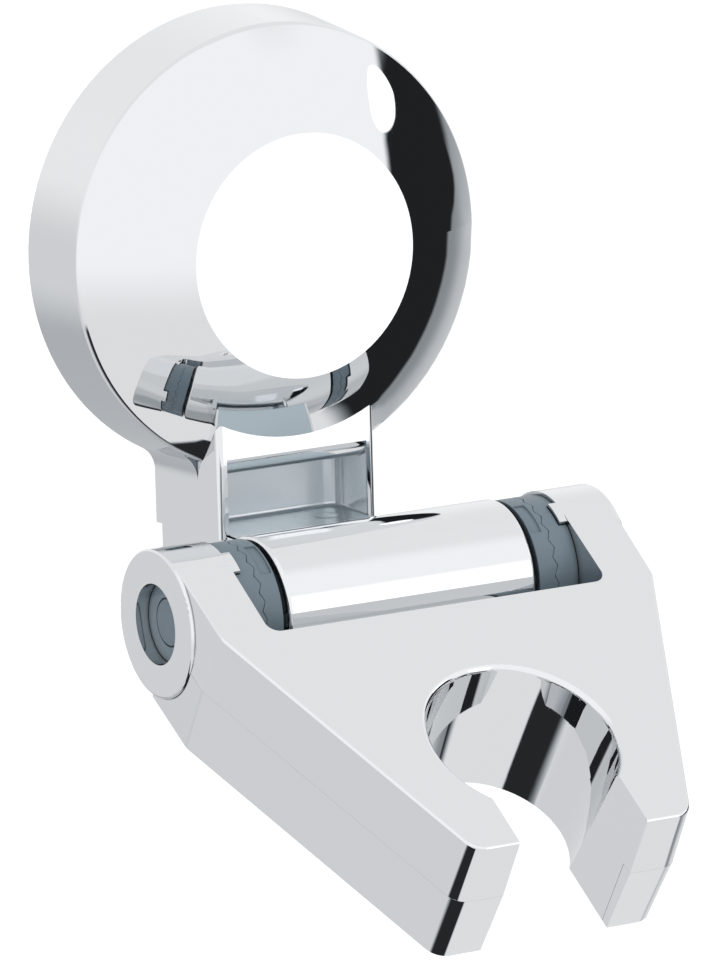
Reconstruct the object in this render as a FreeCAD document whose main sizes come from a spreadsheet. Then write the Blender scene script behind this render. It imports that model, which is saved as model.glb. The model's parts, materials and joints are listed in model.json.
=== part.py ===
import FreeCAD, Part
import math
import os

import Sketcher

# Wall-mounted holder for a hand shower: a round cover over a screwed bracket,
# and a forked arm that tilts in steps on a barrel hinge.
# Frame: X to the right, Y into the wall, Z up, origin at the rosette's centre on the wall.
# The arm's own frame has its origin on the hinge axis, -Y forward and Z out of its top.

# Driving sizes, in millimetres and degrees
SIZES = {
    # Rosette cover
    "rim_radius": 26.4,
    "side_depth": 9.8,
    "side_draft": 5.0,
    "side_edge_round": 1.0,
    "dome_radius": 33.0,
    "disc_radius": 13.9,
    "disc_depth": 16.3,
    "cover_wall": 1.1,
    "stem_half_width": 11.25,
    "stem_depth": 13.05,
    "stem_drop": 31.9,
    "stem_root_round": 3.0,
    "stem_edge_round": 0.8,
    "slot_top_drop": 24.8,
    "lip_round": 2.0,
    "lip_thickness": 2.3,
    "lip_height": 2.5,
    "cover_gap": 0.15,
    "snap_depth": 0.5,
    "snap_height": 0.8,
    "snap_arc": 24.0,
    "snap_count": 3,
    # Bracket
    "plate_thickness": 3.0,
    "screw_spacing": 32.0,
    "screw_hole_radius": 2.2,
    "screw_head_radius": 4.2,
    "core_top_drop": 14.0,
    "neck_inset": 0.7,
    "neck_back_drop": 41.0,
    "scoop_start_drop": 23.5,
    "scoop_depth": 0.35,
    "scoop_corner_radius": 2.0,
    "shelf_drop": 29.3,
    # Hinge
    "hinge_out": 30.6,
    "hinge_drop": 35.7,
    "rest_pitch": 33.0,
    "barrel_radius": 8.2,
    "barrel_edge_round": 0.5,
    "barrel_bore_radius": 6.4,
    "barrel_web": 3.0,
    "axle_radius": 2.75,
    "axle_chamfer": 0.2,
    "running_gap": 0.05,
    "sliding_gap": 0.1,
    # Ratchet
    "tooth_count": 24,
    "tooth_height": 0.5,
    "lift_room": 0.1,
    "mesh_gap": 0.02,
    "inner_ring_width": 2.25,
    "outer_ring_width": 2.8,
    "ring_inset": 0.25,
    "recess_inset": 0.25,
    "recess_width": 1.3,
    "recess_depth": 0.25,
    "recess_centre": 59.0,
    "recess_sweep": 33.0,
    "sleeve_length": 5.0,
    "key_count": 4,
    "key_width": 1.6,
    "key_height": 0.7,
    "spring_wire_half": 0.4,
    "spring_coil_radius": 3.9,
    "spring_turns": 5.5,
    "spring_seat_depth": 3.0,
    "spring_gap": 0.3,
    # Arm
    "boss_radius": 8.35,
    "boss_half_span": 28.1,
    "boss_edge_round": 0.35,
    "boss_bore_radius": 4.55,
    "plug_recess": 1.6,
    "ear_width": 6.7,
    "cutout_reach": 11.3,
    "cutout_corner_round": 1.5,
    "ear_inset": 0.4,
    "bend_inset": 0.7,
    "bend_round": 2.0,
    "tip_half_width": 13.45,
    "tip_reach": 46.8,
    "tip_corner_round": 2.5,
    "top_edge_round": 0.3,
    "shell_draft": 2.5,
    "shell_wall": 2.0,
    "seam_height": 0.5,
    "seam_gap": 0.05,
    "socket_reach": 32.15,
    "socket_top_radius": 11.5,
    "socket_bottom_radius": 9.65,
    "socket_lip_round": 0.7,
    "slot_half_width": 8.0,
    "tip_skin": 1.2,
    "dog_count": 4,
    "dog_width": 3.0,
    "dog_length": 1.0,
    "dog_height": 1.7,
    "under_start": 2.5,
    # Screws of the lower cover
    "post_half_spacing": 16.5,
    "post_reach": 18.0,
    "post_radius": 3.0,
    "turret_radius": 4.1,
    "turret_height": 4.5,
    "pilot_radius": 0.95,
    "shank_radius": 1.15,
    "shank_length": 7.5,
    "head_radius": 2.3,
    "head_height": 1.5,
    "head_crown": 0.5,
    "head_sink": 3.0,
    "hole_gap": 0.2,
}

# Sizes that follow from the driving ones
DERIVED = {
    "ear_half_width": lambda s: s.boss_half_span - s.ear_inset,
    "bend_half_width": lambda s: s.boss_half_span - s.bend_inset,
    "cutout_half_width": lambda s: s.boss_half_span - s.ear_width,
    "lift": lambda s: s.tooth_height + s.lift_room,
    "barrel_half_length": lambda s: (s.cutout_half_width - s.outer_ring_width
                                     - s.inner_ring_width - s.lift),
}

DOC = FreeCAD.newDocument("hand_shower_holder")
SHEET = DOC.addObject("Spreadsheet::Sheet", "Sizes")


class Measure:
    """A size as a number, with the sheet expression that it comes from."""

    def __init__(self, value, text):
        self.value = value
        self.text = text

    def joined(self, sign, value, other):
        return Measure(value, f"({self.text} {sign} {other.text})")

    def __add__(self, other):
        other = measure(other)
        return self.joined("+", self.value + other.value, other)

    def __sub__(self, other):
        other = measure(other)
        return self.joined("-", self.value - other.value, other)

    def __mul__(self, other):
        other = measure(other)
        return self.joined("*", self.value * other.value, other)

    def __truediv__(self, other):
        other = measure(other)
        return self.joined("/", self.value / other.value, other)

    def __radd__(self, other):
        return measure(other) + self

    def __rsub__(self, other):
        return measure(other) - self

    def __rmul__(self, other):
        return measure(other) * self

    def __rtruediv__(self, other):
        return measure(other) / self

    def __neg__(self):
        return Measure(-self.value, f"(0 - {self.text})")


def measure(size):
    """Gives a plain number the form of a Measure."""
    if isinstance(size, Measure):
        return size
    return Measure(float(size), repr(float(size)) if size >= 0 else f"(0 - {-float(size)!r})")


def root(size):
    return Measure(math.sqrt(size.value), f"sqrt({size.text})")


def sine(angle):
    return Measure(math.sin(math.radians(angle.value)), f"sin({angle.text})")


def cosine(angle):
    return Measure(math.cos(math.radians(angle.value)), f"cos({angle.text})")


def tangent(angle):
    return Measure(math.tan(math.radians(angle.value)), f"tan({angle.text})")


class Sizes:
    """The sheet's sizes by name."""


def fill_sheet():
    for row, (name, value) in enumerate(SIZES.items(), start=1):
        SHEET.set(f"A{row}", name)
        SHEET.set(f"B{row}", str(value))
        SHEET.setAlias(f"B{row}", name)
        setattr(Sizes, name, Measure(float(value), f"Sizes.{name}"))
    for name, rule in DERIVED.items():
        setattr(Sizes, name, rule(Sizes))
    DOC.recompute()


def bind(item, prop, size):
    """Ties one property of an object to the sheet."""
    item.setExpression(prop, measure(size).text)


# Sketches


def origin_plane(body, role):
    for feature in body.Origin.OriginFeatures:
        if feature.Role == role:
            return feature
    raise ValueError(role)


def new_sketch(body, name, plane, height=0, across=0, up=0, tilt=None):
    """An empty sketch on an origin plane, moved out along it and sideways in it.

    A tilt turns the sketch and its way out about the X axis, as the arm's pitch does.
    """
    sketch = body.newObject("Sketcher::SketchObject", name)
    sketch.AttachmentSupport = (origin_plane(body, plane), [""])
    sketch.MapMode = "FlatFace"
    if tilt is not None:
        turn = FreeCAD.Rotation(FreeCAD.Vector(1, 0, 0), tilt.value)
        sketch.AttachmentOffset = FreeCAD.Placement(FreeCAD.Vector(), turn)
        bind(sketch, "AttachmentOffset.Rotation.Angle", tilt)
        up = -height * sine(tilt)
        height = height * cosine(tilt)
    bind(sketch, "AttachmentOffset.Base.x", across)
    bind(sketch, "AttachmentOffset.Base.y", up)
    bind(sketch, "AttachmentOffset.Base.z", height)
    return sketch


def fix(sketch, kind, side, end, size):
    """Constrains one end of a side, measured from the sketch's origin."""
    number = sketch.addConstraint(Sketcher.Constraint(kind, -1, 1, side, end, size.value))
    sketch.setExpression(f"Constraints[{number}]", size.text)


def arc_between(start, end, radius):
    """The short arc from start to end. A positive radius bulges to the right of the way."""
    middle = (start + end) * 0.5
    chord = end - start
    left = FreeCAD.Vector(-chord.y, chord.x, 0).normalize()
    reach = math.sqrt(max(radius * radius - chord.Length ** 2 / 4, 0.0))
    centre = middle + left * math.copysign(reach, radius)
    angles = [math.atan2(point.y - centre.y, point.x - centre.x) for point in (start, end)]
    if radius < 0:
        angles.reverse()
    circle = Part.Circle(centre, FreeCAD.Vector(0, 0, 1), abs(radius))
    return Part.ArcOfCircle(circle, angles[0], angles[1])


def draw_loop(sketch, corners):
    """Draws a closed outline. A corner is x, y and, where an arc follows it, that arc's radius."""
    corners = [tuple(measure(size) for size in corner) for corner in corners]
    points = [FreeCAD.Vector(corner[0].value, corner[1].value, 0) for corner in corners]
    sides = []
    starts = []
    for index, corner in enumerate(corners):
        start = points[index]
        end = points[(index + 1) % len(points)]
        if len(corner) == 3:
            sides.append(sketch.addGeometry(arc_between(start, end, corner[2].value)))
            starts.append(1 if corner[2].value > 0 else 2)
        else:
            sides.append(sketch.addGeometry(Part.LineSegment(start, end)))
            starts.append(1)
    for index, side in enumerate(sides):
        after = (index + 1) % len(sides)
        sketch.addConstraint(
            Sketcher.Constraint("Coincident", side, 3 - starts[index], sides[after], starts[after]))
    for side, start, corner in zip(sides, starts, corners):
        fix(sketch, "DistanceX", side, start, corner[0])
        fix(sketch, "DistanceY", side, start, corner[1])
        if len(corner) == 3:
            radius = corner[2] if corner[2].value > 0 else -corner[2]
            number = sketch.addConstraint(Sketcher.Constraint("Radius", side, radius.value))
            sketch.setExpression(f"Constraints[{number}]", radius.text)


def draw_circle(sketch, x, y, radius):
    x, y, radius = measure(x), measure(y), measure(radius)
    centre = FreeCAD.Vector(x.value, y.value, 0)
    side = sketch.addGeometry(Part.Circle(centre, FreeCAD.Vector(0, 0, 1), radius.value))
    fix(sketch, "DistanceX", side, 3, x)
    fix(sketch, "DistanceY", side, 3, y)
    number = sketch.addConstraint(Sketcher.Constraint("Radius", side, radius.value))
    sketch.setExpression(f"Constraints[{number}]", radius.text)


def mirrored(corners):
    """A right-hand half outline and its mirror image about the sketch's upright axis."""
    shared = measure(corners[-1][0]).value == 0
    arcs = [()] + [tuple(corner[2:]) for corner in corners[:-1]]
    other = [(-corner[0], corner[1]) + arc for corner, arc in zip(corners, arcs)][::-1]
    if shared:
        return list(corners[:-1]) + [tuple(corners[-1][:2]) + other[0][2:]] + other[1:]
    return list(corners) + other


# Features


def new_body(name, arm=False, hinge=False):
    """A body in the holder's frame, on the hinge axis, or in the arm's frame."""
    body = DOC.addObject("PartDesign::Body", name)
    body.Label = name
    if arm:
        axis = FreeCAD.Vector(1, 0, 0)
        body.Placement = FreeCAD.Placement(FreeCAD.Vector(), FreeCAD.Rotation(axis, Sizes.rest_pitch.value))
        bind(body, "Placement.Rotation.Angle", Sizes.rest_pitch)
    if arm or hinge:
        bind(body, "Placement.Base.y", -Sizes.hinge_out)
        bind(body, "Placement.Base.z", -Sizes.hinge_drop)
    return body


def prism(body, sketch, length, cut=False, taper=None, middle=False):
    """Pads the sketch along its normal, or cuts along it."""
    kind = "PartDesign::Pocket" if cut else "PartDesign::Pad"
    feature = body.newObject(kind, sketch.Name + ("_cut" if cut else "_pad"))
    feature.Profile = sketch
    bind(feature, "Length", length)
    if cut and not middle:
        feature.Reversed = True
    if middle:
        feature.Midplane = True
    if taper is not None:
        bind(feature, "TaperAngle", -taper)
    DOC.recompute()
    return feature


def turned(body, sketch, axis, cut=False, angle=None):
    """Revolves the sketch about one of its own axes, or cuts that way."""
    kind = "PartDesign::Groove" if cut else "PartDesign::Revolution"
    feature = body.newObject(kind, sketch.Name + ("_groove" if cut else "_turned"))
    feature.Profile = sketch
    feature.ReferenceAxis = (sketch, [axis])
    if angle is None:
        feature.Angle = 360
    else:
        bind(feature, "Angle", angle)
        feature.Midplane = True
    DOC.recompute()
    return feature


def around(body, feature, sketch, count):
    """Repeats a feature about its sketch's normal, or without a sketch about the body's X axis."""
    pattern = body.newObject("PartDesign::PolarPattern", feature.Name + "_pattern")
    pattern.Originals = [feature]
    pattern.Axis = (sketch, ["N_Axis"]) if sketch else (origin_plane(body, "X_Axis"), [""])
    pattern.Angle = 360
    bind(pattern, "Occurrences", count)
    body.Tip = pattern
    DOC.recompute()
    return pattern


def mirror(body, features, plane):
    """Repeats features on the other side of an origin plane."""
    copy = body.newObject("PartDesign::Mirrored", features[0].Name + "_mirrored")
    copy.Originals = features
    copy.MirrorPlane = (origin_plane(body, plane), [""])
    body.Tip = copy
    DOC.recompute()
    return copy


def rounded(body, radius, chosen):
    """Fillets the edges of the body's tip that the test chooses."""
    base = body.Tip
    names = [f"Edge{number}" for number, edge in enumerate(base.Shape.Edges, start=1) if chosen(edge)]
    feature = body.newObject("PartDesign::Fillet", base.Name + "_rounded")
    feature.Base = (base, names)
    bind(feature, "Radius", radius)
    DOC.recompute()
    return feature


def near(first, second):
    return abs(first - second) < NEAR


def is_circle(edge, radius):
    return isinstance(edge.Curve, Part.Circle) and near(edge.Curve.Radius, radius.value)


# How close two places are to count as one when an edge is looked for
NEAR = 0.01
# How far a cutting outline runs past the solid that it cuts
BEYOND = 1.0
# How far a tooth gash opens past the teeth, as a multiple of its depth
GASH_RATIO = 3


# Rosette cover


def side_radius(depth):
    """Outer radius of the drafted side wall at a depth."""
    return Sizes.rim_radius - depth * tangent(Sizes.side_draft)


def stem_width(depth):
    """Outer half-width of the drafted stem at a depth."""
    return Sizes.stem_half_width - depth * tangent(Sizes.side_draft)


def stem_outline(width, front, back=0):
    """Plan of the stem: drafted sides, open towards the wall."""
    return mirrored([(width(measure(back)), -measure(back)), (width(front), -front)])


def cover_outline(depth):
    """Front outline of the disc and the stem at a depth, with round corners between them."""
    s = Sizes
    growth = depth * tangent(s.side_draft)
    centre_x = s.stem_half_width + s.stem_root_round
    centre_reach = s.rim_radius + s.stem_root_round
    centre_z = root(centre_reach * centre_reach - centre_x * centre_x)
    share = side_radius(depth) / centre_reach
    return mirrored([
        (stem_width(depth), -s.stem_drop),
        (stem_width(depth), -centre_z, -s.stem_root_round - growth),
        (centre_x * share, -centre_z * share, side_radius(depth)),
        (side_radius(depth), 0, side_radius(depth)),
        (0, side_radius(depth)),
    ])


def rosette_cover():
    body = new_body("rosette_cover")
    s = Sizes
    shoulder = s.side_depth - s.side_edge_round

    sections = []
    for name, depth in (("side_foot", measure(0)), ("side_shoulder", shoulder)):
        section = new_sketch(body, name, "XZ_Plane", height=depth)
        draw_loop(section, cover_outline(depth))
        sections.append(section)
    sides = body.newObject("PartDesign::AdditiveLoft", "sides")
    sides.Profile = sections[0]
    sides.Sections = [sections[1]]
    sides.Ruled = True
    DOC.recompute()

    dome = new_sketch(body, "dome", "XY_Plane")
    draw_loop(dome, [
        (0, -shoulder),
        (side_radius(shoulder), -shoulder),
        (side_radius(s.side_depth), -s.side_depth, -s.dome_radius),
        (s.disc_radius, -s.disc_depth),
        (0, -s.disc_depth),
    ])
    turned(body, dome, "V_Axis")
    rounded(body, s.side_edge_round, lambda edge: is_circle(edge, side_radius(s.side_depth)))

    stem = new_sketch(body, "stem", "XY_Plane", height=-s.stem_drop)
    draw_loop(stem, stem_outline(stem_width, s.stem_depth))
    prism(body, stem, s.stem_drop - s.disc_radius)
    rounded(body, s.stem_edge_round, lambda edge: near(edge.CenterOfMass.y, -s.stem_depth.value)
            and near(abs(edge.CenterOfMass.x), stem_width(s.stem_depth).value))

    hollow = new_sketch(body, "hollow", "XY_Plane")
    inner_disc_depth = s.disc_depth - s.cover_wall
    draw_loop(hollow, [
        (0, BEYOND),
        (s.rim_radius - s.cover_wall, BEYOND),
        (s.rim_radius - s.cover_wall, 0),
        (side_radius(s.side_depth) - s.cover_wall, s.cover_wall / 2 - s.side_depth,
         s.cover_wall - s.dome_radius),
        (s.disc_radius, -inner_disc_depth),
        (0, -inner_disc_depth),
    ])
    turned(body, hollow, "V_Axis", cut=True)

    channel = new_sketch(body, "channel", "XY_Plane", height=-s.stem_drop - BEYOND)
    inside = mirrored([
        (s.stem_half_width - s.cover_wall, BEYOND),
        (s.stem_half_width - s.cover_wall, 0),
        (stem_width(s.stem_depth - s.cover_wall) - s.cover_wall, s.cover_wall - s.stem_depth),
    ])
    draw_loop(channel, inside)
    prism(body, channel, s.stem_drop + BEYOND - s.disc_radius, cut=True)

    slot = new_sketch(body, "slot", "XZ_Plane", height=s.stem_depth - s.lip_thickness)
    slot_width = stem_width(s.stem_depth) - s.cover_wall
    lip_top = s.lip_height - s.slot_top_drop
    draw_loop(slot, mirrored([
        (slot_width, -s.stem_drop - BEYOND),
        (slot_width, lip_top),
    ]))
    prism(body, slot, s.lip_thickness + BEYOND, cut=True)

    # Rolled lip along the top of the slot
    lip = new_sketch(body, "lip", "YZ_Plane")
    draw_loop(lip, [
        (-s.stem_depth, lip_top),
        (-s.stem_depth, s.lip_round - s.slot_top_drop, s.lip_round),
        (s.lip_round - s.stem_depth, -s.slot_top_drop),
        (s.lip_thickness - s.stem_depth, -s.slot_top_drop),
        (s.lip_thickness - s.stem_depth, lip_top + s.cover_wall),
        (s.cover_wall / 2 - s.stem_depth, lip_top + s.cover_wall),
        (s.cover_wall / 2 - s.stem_depth, lip_top),
    ])
    prism(body, lip, 2 * slot_width, middle=True)

    # Lugs inside the rim that snap into the plate's groove
    middle = s.plate_thickness / 2
    lug = new_sketch(body, "lug", "YZ_Plane")
    lug_root = side_radius(middle) - s.cover_wall / 2
    lug_tip = side_radius(middle) - s.cover_wall - s.snap_depth
    draw_loop(lug, [
        (s.snap_height / 2 - middle, lug_root),
        (s.snap_height / 4 - middle, lug_tip),
        (-s.snap_height / 4 - middle, lug_tip),
        (-s.snap_height / 2 - middle, lug_root),
    ])
    snap = turned(body, lug, "H_Axis", angle=s.snap_arc)
    spread = body.newObject("PartDesign::PolarPattern", "lugs")
    spread.Originals = [snap]
    spread.Axis = (lug, ["H_Axis"])
    spread.Angle = 360
    bind(spread, "Occurrences", s.snap_count)
    body.Tip = spread
    DOC.recompute()
    return body


# Bracket


def bracket_body():
    body = new_body("bracket_body")
    s = Sizes
    front = s.stem_depth
    neck_front = s.stem_depth - s.lip_thickness - s.cover_gap
    barrel_top = s.hinge_drop - s.barrel_radius
    barrel_base = s.hinge_drop + s.barrel_radius
    scoop_back = neck_front - s.scoop_depth
    corner = s.scoop_corner_radius
    fall = s.shelf_drop - corner - s.scoop_start_drop
    scoop_radius = (s.scoop_depth * s.scoop_depth + fall * fall) / (2 * s.scoop_depth)
    neck_back = s.stem_half_width - s.neck_inset

    neck = new_sketch(body, "neck", "YZ_Plane")
    draw_loop(neck, [
        (0, -s.core_top_drop),
        (-s.plate_thickness, -s.core_top_drop),
        (-neck_front, s.lip_height - s.slot_top_drop),
        (-neck_front, -s.scoop_start_drop, -scoop_radius),
        (-scoop_back, corner - s.shelf_drop, -corner),
        (-scoop_back - corner, -s.shelf_drop),
        (-s.hinge_out, -barrel_top),
        (-s.hinge_out, -barrel_base),
        (0, -s.neck_back_drop),
    ])
    prism(body, neck, 2 * neck_back, middle=True)

    # Drafted flanks: below the cover, and narrower inside it
    far = s.hinge_out + s.barrel_radius + BEYOND
    for name, inset, low in (
        ("lower_flanks", s.neck_inset, -barrel_base - BEYOND),
        ("upper_flanks", s.cover_wall + s.cover_gap, -s.stem_drop - s.cover_gap),
    ):
        flanks = new_sketch(body, name, "XY_Plane", height=low)
        half = [
            (s.stem_half_width - inset, BEYOND),
            (s.stem_half_width - inset, 0),
            (stem_width(front) - inset, -front),
            (stem_width(front) - inset, -far),
            (s.stem_half_width, -far),
            (s.stem_half_width, BEYOND),
        ]
        if name == "upper_flanks":
            half[3:5] = [(s.stem_half_width, -front)]
        draw_loop(flanks, half)
        draw_loop(flanks, [(-corner_x, corner_y) for corner_x, corner_y in half])
        prism(body, flanks, -low, cut=True)

    barrel = new_sketch(body, "barrel", "YZ_Plane", across=-s.hinge_out, up=-s.hinge_drop)
    draw_circle(barrel, 0, 0, s.barrel_radius)
    prism(body, barrel, 2 * s.barrel_half_length, middle=True)
    rounded(body, s.barrel_edge_round, lambda edge: near(abs(edge.CenterOfMass.x), s.barrel_half_length.value))

    hinge = {"across": -s.hinge_out, "up": -s.hinge_drop}
    bore = new_sketch(body, "bore", "YZ_Plane", height=s.barrel_web / 2, **hinge)
    draw_circle(bore, 0, 0, s.barrel_bore_radius)
    bores = prism(body, bore, s.barrel_half_length, cut=True)
    mirror(body, [bores], "YZ_Plane")

    half_key = s.key_width / 2 + s.sliding_gap
    key_top = s.barrel_bore_radius + s.key_height
    run = s.sleeve_length + s.lift + s.sliding_gap
    for name, start in (
        ("right_keyway", s.barrel_half_length - run),
        ("left_keyway", -s.barrel_half_length - BEYOND),
    ):
        keyway = new_sketch(body, name, "YZ_Plane", height=start, **hinge)
        draw_loop(keyway, mirrored([(half_key, s.axle_radius), (half_key, key_top)]))
        around(body, prism(body, keyway, run + BEYOND, cut=True), keyway, s.key_count)

    pivot = new_sketch(body, "pivot", "YZ_Plane", **hinge)
    draw_circle(pivot, 0, 0, s.axle_radius + s.running_gap)
    prism(body, pivot, s.barrel_web * 2, cut=True, middle=True)

    plate = new_sketch(body, "plate", "XY_Plane")
    plate_inset = s.cover_wall + s.cover_gap
    middle = s.plate_thickness / 2
    groove_root = side_radius(middle) - plate_inset - s.snap_depth
    groove = s.snap_height / 2 + s.cover_gap
    rim_back = s.rim_radius - plate_inset
    rim_front = side_radius(s.plate_thickness) - plate_inset
    draw_loop(plate, [
        (0, 0),
        (rim_back, 0),
        (side_radius(middle - groove) - plate_inset, groove - middle),
        (groove_root, groove / 2 - middle),
        (groove_root, -groove / 2 - middle),
        (side_radius(middle + groove) - plate_inset, -groove - middle),
        (rim_front, -s.plate_thickness),
        (0, -s.plate_thickness),
    ])
    turned(body, plate, "V_Axis")

    holes = new_sketch(body, "screw_holes", "XZ_Plane", height=s.plate_thickness)
    draw_circle(holes, s.screw_spacing / 2, 0, s.screw_hole_radius)
    draw_circle(holes, -s.screw_spacing / 2, 0, s.screw_hole_radius)
    DOC.recompute()
    drilled = body.newObject("PartDesign::Hole", "countersunk_holes")
    drilled.Profile = holes
    drilled.DepthType = "ThroughAll"
    bind(drilled, "Diameter", 2 * s.screw_hole_radius)
    drilled.HoleCutType = "Countersink"
    bind(drilled, "HoleCutDiameter", 2 * s.screw_head_radius)
    drilled.HoleCutCountersinkAngle = 90
    DOC.recompute()
    return body


# Arm


def seam_spread():
    """How much further out the drafted sides stand at the seam than at the outer faces."""
    return (Sizes.boss_radius - Sizes.seam_height) * tangent(Sizes.shell_draft)


def arm_outline(rear):
    """Plan of the arm at the seam, from a place behind the bend to the tips."""
    s = Sizes
    spread = seam_spread()
    return mirrored([
        (s.ear_half_width + spread, -rear),
        (s.bend_half_width + spread, -s.cutout_reach),
        (s.tip_half_width + spread, -s.tip_reach - spread),
    ])


def hollow_outline():
    """Plan of the hollow between the cutout's wall, the flanks and the tips."""
    s = Sizes
    spread = seam_spread()
    slope = (s.bend_half_width - s.tip_half_width) / (s.tip_reach - s.cutout_reach)
    slant = root(slope * slope + 1) * s.shell_wall
    start = s.cutout_reach + s.shell_wall
    end = s.tip_reach - s.shell_wall
    base = s.bend_half_width + spread - slant
    return mirrored([
        (base - slope * s.shell_wall - spread, -start),
        (base - slope * (end - s.cutout_reach) - spread, -end),
    ])


def socket_profile(extra, low, high):
    """Half section of the socket's cone, larger all round by extra."""
    s = Sizes
    height = 2 * s.boss_radius - s.socket_lip_round
    slope = (s.socket_top_radius - s.socket_lip_round - s.socket_bottom_radius) / height
    return [
        (0, low),
        (s.socket_bottom_radius + extra + slope * (low + s.boss_radius), low),
        (s.socket_bottom_radius + extra + slope * (high + s.boss_radius), high),
        (0, high),
    ]


def socket_sketch(body, name):
    """A section through the socket's axis, with that axis upright in the sketch."""
    return new_sketch(body, name, "YZ_Plane", across=-Sizes.socket_reach)


def cut_cutout(body):
    s = Sizes
    cutout = new_sketch(body, "cutout", "XY_Plane", height=-s.boss_radius - BEYOND)
    radius = s.cutout_corner_round
    draw_loop(cutout, mirrored([
        (s.cutout_half_width, s.boss_radius + BEYOND),
        (s.cutout_half_width, radius - s.cutout_reach, -radius),
        (s.cutout_half_width - radius, -s.cutout_reach),
    ]))
    return prism(body, cutout, 2 * (s.boss_radius + BEYOND), cut=True)


def screw_places():
    s = Sizes
    return [(s.post_half_spacing, -s.post_reach), (-s.post_half_spacing, -s.post_reach)]


def post_foot():
    """Height at which the top shell's posts stand on the cover's turrets."""
    return Sizes.turret_height - Sizes.boss_radius


def flank_edge(edge, low, high):
    """Tells the drafted corner edges of the arm from the rest."""
    box = edge.BoundBox
    return near(box.ZMin, low.value) and near(box.ZMax, high.value)


def round_corners(body, low, high):
    s = Sizes
    rounded(body, s.tip_corner_round, lambda edge: flank_edge(edge, low, high)
            and edge.CenterOfMass.y < -s.tip_reach.value)
    rounded(body, s.bend_round, lambda edge: flank_edge(edge, low, high)
            and abs(edge.CenterOfMass.y + s.cutout_reach.value) < s.bend_round.value)


def arm_top_shell():
    body = new_body("arm_top_shell", arm=True)
    s = Sizes
    top = s.boss_radius
    seam = s.seam_height
    skin = top - s.shell_wall
    into_skin = top - s.shell_wall / 2

    skirt = new_sketch(body, "skirt", "XY_Plane", height=seam)
    draw_loop(skirt, arm_outline(measure(0)))
    prism(body, skirt, top - seam, taper=s.shell_draft)
    round_corners(body, seam, top)
    rounded(body, s.top_edge_round, lambda edge: near(edge.BoundBox.ZMin, top.value)
            and edge.CenterOfMass.y < -NEAR)

    bosses = new_sketch(body, "bosses", "XY_Plane")
    edge = s.boss_edge_round
    draw_loop(bosses, mirrored([
        (s.boss_half_span, 0),
        (s.boss_half_span, top - edge, edge),
        (s.boss_half_span - edge, top),
    ]))
    turned(body, bosses, "H_Axis")

    hollow = new_sketch(body, "hollow", "XY_Plane", height=seam - BEYOND)
    draw_loop(hollow, hollow_outline())
    prism(body, hollow, skin - seam + BEYOND, cut=True)

    tower = socket_sketch(body, "tower")
    draw_loop(tower, socket_profile(s.shell_wall, -top, into_skin))
    turned(body, tower, "V_Axis")
    walls = new_sketch(body, "slot_walls", "XY_Plane", height=-top)
    width = s.slot_half_width + s.shell_wall
    draw_loop(walls, mirrored([(width, -s.socket_reach), (width, s.tip_skin - s.tip_reach)]))
    prism(body, walls, top + into_skin)
    posts = new_sketch(body, "posts", "XY_Plane", height=post_foot())
    for x, y in screw_places():
        draw_circle(posts, x, y, s.post_radius)
    prism(body, posts, into_skin - post_foot())
    pilots = new_sketch(body, "pilots", "XY_Plane", height=post_foot() - BEYOND)
    for x, y in screw_places():
        draw_circle(pilots, x, y, s.pilot_radius)
    prism(body, pilots, s.shank_length + BEYOND, cut=True)

    cut_cutout(body)
    socket = socket_sketch(body, "socket")
    cone = socket_profile(measure(0), -top, top - s.socket_lip_round)
    draw_loop(socket, [
        (0, -top - BEYOND),
        (s.socket_bottom_radius, -top - BEYOND),
        cone[1],
        cone[2] + (-s.socket_lip_round,),
        (s.socket_top_radius, top),
        (s.socket_top_radius, top + BEYOND),
        (0, top + BEYOND),
    ])
    turned(body, socket, "V_Axis", cut=True)
    slot = new_sketch(body, "tip_slot", "XY_Plane", height=-top - BEYOND)
    draw_loop(slot, mirrored([
        (s.slot_half_width, -s.socket_reach),
        (s.slot_half_width, -s.tip_reach - BEYOND * 2),
    ]))
    prism(body, slot, 2 * (top + BEYOND), cut=True)

    eyes = new_sketch(body, "eyes", "YZ_Plane")
    draw_circle(eyes, 0, 0, s.boss_bore_radius)
    prism(body, eyes, 2 * (s.boss_half_span + BEYOND), cut=True, middle=True)

    # Dogs on the inner face of each ear, which carry the ratchet hubs round
    half = s.dog_width / 2
    for name, start in (
        ("right_dog", s.cutout_half_width - s.dog_length),
        ("left_dog", -s.cutout_half_width - BEYOND),
    ):
        dog = new_sketch(body, name, "YZ_Plane", height=start)
        draw_loop(dog, [
            (half, root(top * top - half * half), top),
            (-half, root(top * top - half * half)),
            (-half, top - s.dog_height),
            (half, top - s.dog_height),
        ])
        around(body, prism(body, dog, s.dog_length + BEYOND), dog, s.dog_count)
    return body


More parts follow.
